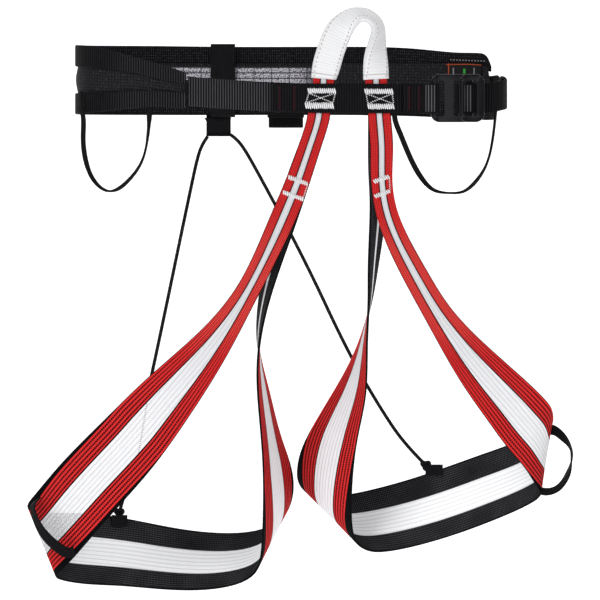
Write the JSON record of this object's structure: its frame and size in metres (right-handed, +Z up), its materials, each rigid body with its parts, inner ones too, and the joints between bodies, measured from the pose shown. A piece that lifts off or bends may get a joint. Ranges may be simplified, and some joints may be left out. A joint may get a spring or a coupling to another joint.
{
  "type": "climbing harness",
  "caption": "Lightweight climbing harness of split waist webbing, two red leg loops on doubled risers, a sleeved tie-in loop, sliding buckle, elastic risers and gear loops",
  "frame": {"origin": "middle of the waist opening, half way up the belt", "axes": "+Z up, +X to the wearer's left, -Y to the wearer's front"},
  "size_m": [0.4005, 0.1419, 0.4287],
  "materials": {
    "black_webbing": "ribbed black polyester webbing",
    "black_mesh": "open black mesh with silver yarns",
    "black_alloy": "glossy black anodised alloy",
    "label": "blank sewn label",
    "dark_stitch": "dark red bar tack",
    "white_stitch": "white bar tack",
    "white_fabric": "white woven wear sleeve",
    "red_webbing": "red webbing with a white middle stripe, black on its inner face",
    "black_elastic": "smooth black elastic",
    "elastic_cord": "black elastic cord",
    "black_strap": "plain black tape"
  },
  "bodies": {
    "belt": {"band_upper_webbing": "black_webbing", "band_lower_webbing": "black_webbing", "band_mesh": "black_mesh", "front_strap": "black_webbing", "adjust_strap": "black_webbing", "buckle_back_frame": "black_alloy", "waist_label": "label", "split_tack": "dark_stitch", "belt_tacks_front": "dark_stitch", "belt_tacks_buckle": "dark_stitch", "tie_in_tack_left": "white_stitch", "tie_in_tack_right": "white_stitch", "riser_root_left_front": "red_webbing", "riser_root_left_back": "red_webbing", "riser_root_right_front": "red_webbing", "riser_root_right_back": "red_webbing", "riser_keeper": "black_elastic", "riser_keeper_tab": "black_elastic", "riser_cord_left": "elastic_cord", "riser_cord_right": "elastic_cord", "gear_anchor_left_hip": "black_strap", "gear_anchor_left_front": "black_strap", "gear_anchor_right_front": "black_strap", "gear_anchor_right_hip": "black_strap", "haul_loop_anchor_left": "black_strap", "haul_loop_anchor_right": "black_strap"},
    "tie_in_loop": {"tie_in_sleeve": "white_fabric", "tie_in_webbing_outer": "red_webbing", "tie_in_webbing_inner": "red_webbing"},
    "left_leg": {"left_leg_webbing": "red_webbing", "left_riser_tack": "white_stitch", "left_cord_tab": "black_strap"},
    "right_leg": {"right_leg_webbing": "red_webbing", "right_riser_tack": "white_stitch", "right_cord_tab": "black_strap"},
    "left_pull": {"left_pull_loop": "black_strap"},
    "right_pull": {"right_pull_loop": "black_strap"},
    "left_gear": {"gear_loop_left": "black_strap"},
    "right_gear": {"gear_loop_right": "black_strap"},
    "haul": {"haul_loop": "black_strap"},
    "buckle_front": {"buckle_front_frame": "black_alloy"}
  },
  "joints": [
    {"name": "tie_in_loop_fold", "type": "hinge", "parent": "belt", "child": "tie_in_loop", "pos_m": [0.0475, -0.0552, -0.0016], "axis": [1, 0, 0], "range_deg": [-45, 45], "stiffness_Nm_per_rad": 0.03},
    {"name": "left_leg_swing", "type": "hinge", "parent": "belt", "child": "left_leg", "pos_m": [0.0244, -0.0552, -0.0282], "axis": [1, 0, 0], "range_deg": [-60, 8], "stiffness_Nm_per_rad": 0.25, "springref_deg": 1.74, "deforming": ["riser_cord_left"]},
    {"name": "right_leg_swing", "type": "hinge", "parent": "belt", "child": "right_leg", "pos_m": [0.069, -0.0552, -0.0282], "axis": [1, 0, 0], "range_deg": [-60, 8], "stiffness_Nm_per_rad": 0.25, "springref_deg": 1.56, "deforming": ["riser_cord_right"]},
    {"name": "left_pull_flex", "type": "hinge", "parent": "left_leg", "child": "left_pull", "pos_m": [-0.1806, -0.015, -0.3074], "axis": [0.5662, -0.1383, -0.8126], "range_deg": [-20, 10], "stiffness_Nm_per_rad": 0.004},
    {"name": "right_pull_flex", "type": "hinge", "parent": "right_leg", "child": "right_pull", "pos_m": [0.197, -0.011, -0.257], "axis": [-0.1429, 0.0396, -0.989], "range_deg": [-35, 35], "stiffness_Nm_per_rad": 0.004},
    {"name": "left_gear_loop_swing", "type": "hinge", "parent": "belt", "child": "left_gear", "pos_m": [-0.1475, -0.033, -0.028], "axis": [0.94, -0.3411, 0], "range_deg": [-60, 10]},
    {"name": "right_gear_loop_swing", "type": "hinge", "parent": "belt", "child": "right_gear", "pos_m": [0.08, -0.0564, -0.028], "axis": [0.9962, 0.0868, 0], "range_deg": [-60, 10]},
    {"name": "haul_loop_flex", "type": "hinge", "parent": "belt", "child": "haul", "pos_m": [0.0006, 0.061, -0.025], "axis": [1, 0, 0], "range_deg": [-10, 60], "stiffness_Nm_per_rad": 0.01},
    {"name": "buckle_tilt", "type": "hinge", "parent": "belt", "child": "buckle_front", "pos_m": [0.1284, -0.0687, -0.0145], "axis": [0, 0, 1], "range_deg": [-30, 0]}
  ]
}
